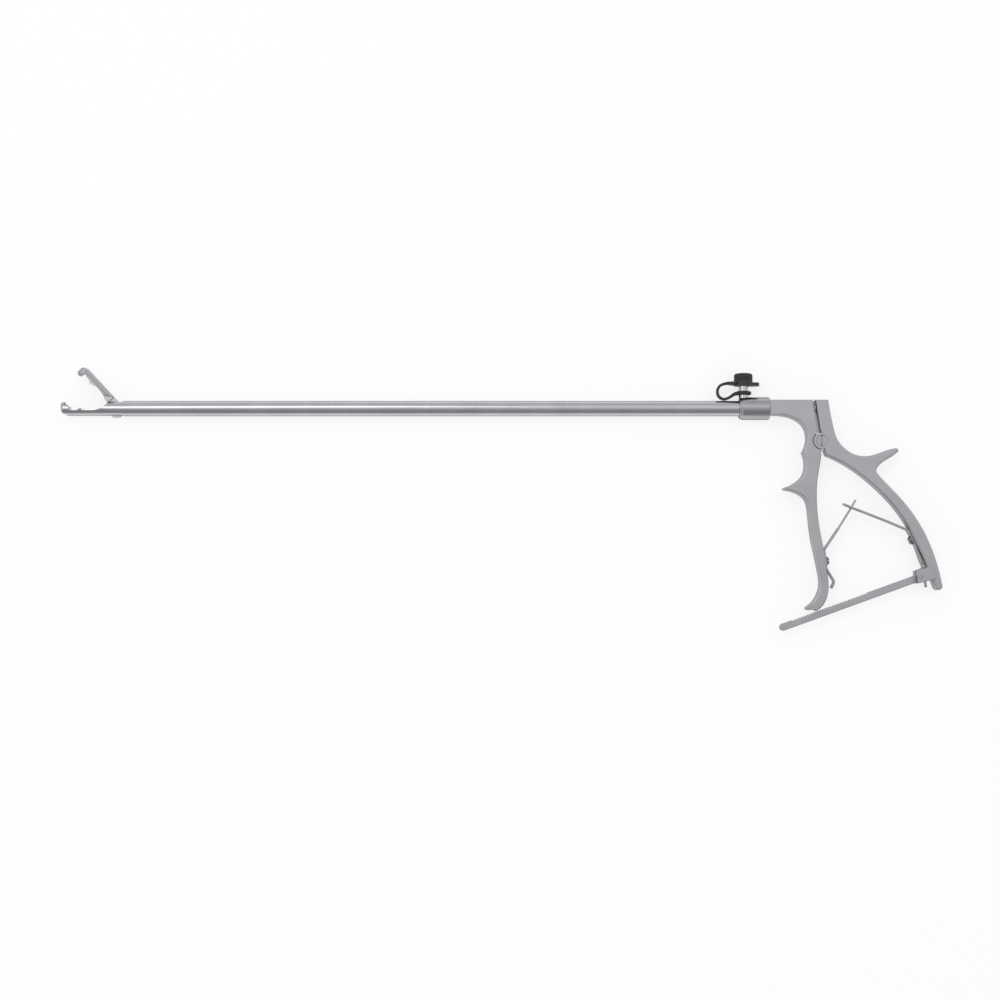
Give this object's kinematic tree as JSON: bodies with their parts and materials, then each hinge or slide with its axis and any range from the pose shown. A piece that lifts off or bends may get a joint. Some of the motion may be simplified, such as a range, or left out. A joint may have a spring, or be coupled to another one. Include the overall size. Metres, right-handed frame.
{
  "type": "hysteroscopic grasping forceps",
  "caption": "Straight-shaft grasping forceps with one hooked hinged jaw, a toothed bowl jaw, capped flush port and a sprung ratchet handle.",
  "frame": {"origin": "on the shaft's axis, at the front face of the collar where the working length starts", "axes": "-X along the shaft to the jaws, +Y to the flush port, +Z out of the handles' near side, so the instrument lies flat on its far side"},
  "size_m": [0.4565, 0.1366, 0.0118],
  "materials": {
    "satin_steel": "satin",
    "polished_steel": "polished",
    "spring_steel": "smooth rolled",
    "screw_steel": "turned",
    "black_rubber": "matt moulded",
    "seal_rubber": "matt"
  },
  "bodies": {
    "grip": {"outer_tube": "polished_steel", "jaw_housing": "polished_steel", "jaw_pivot_pin": "polished_steel", "collar": "polished_steel", "port_stem": "polished_steel", "cap_ring": "black_rubber", "cap_strap": "black_rubber", "rod_seal": "seal_rubber", "seal_gland": "polished_steel", "front_handle": "satin_steel", "handle_screw": "screw_steel", "front_leaf_spring": "spring_steel", "front_spring_screw": "screw_steel"},
    "lever": {"thumb_lever": "satin_steel", "rear_leaf_spring": "spring_steel", "rear_spring_screw": "screw_steel", "ratchet_pin": "screw_steel"},
    "bar": {"ratchet_bar": "satin_steel"},
    "drive_rod": {"pull_rod": "polished_steel", "rod_end": "polished_steel"},
    "moving_jaw": {"upper_jaw": "polished_steel", "crank_pin": "polished_steel"},
    "cap": {"port_cap": "black_rubber"}
  },
  "joints": [
    {"name": "lever_pivot", "type": "hinge", "parent": "grip", "child": "lever", "pos_m": [0.0423, -0.0171, 0], "axis": [0, 0, -1], "range_deg": [0, 10.7], "stiffness_Nm_per_rad": 1, "deforming": ["front_leaf_spring", "rear_leaf_spring"]},
    {"name": "rod_slide", "type": "slide", "parent": "grip", "child": "drive_rod", "axis": [1, 0, 0], "range_m": [0, 0.00325]},
    {"name": "jaw_pivot", "type": "hinge", "parent": "grip", "child": "moving_jaw", "pos_m": [-0.3236, 0.0022, 0], "axis": [0, 0, 1], "range_deg": [0, 47.1]},
    {"name": "ratchet_swing", "type": "hinge", "parent": "lever", "child": "bar", "pos_m": [0.0924, -0.08786, 0], "axis": [0, 0, 1], "range_deg": [0, 6.8]},
    {"name": "cap_lift", "type": "slide", "parent": "grip", "child": "cap", "axis": [0, 1, 0], "range_m": [0, 0.012], "deforming": ["cap_strap"]}
  ],
  "couplings": [
    {"joint": "rod_slide", "follows": "lever_pivot", "m_per_rad": 0.017232},
    {"joint": "jaw_pivot", "follows": "lever_pivot", "ratio": 4.3925},
    {"joint": "ratchet_swing", "follows": "lever_pivot", "ratio": 0.62}
  ]
}
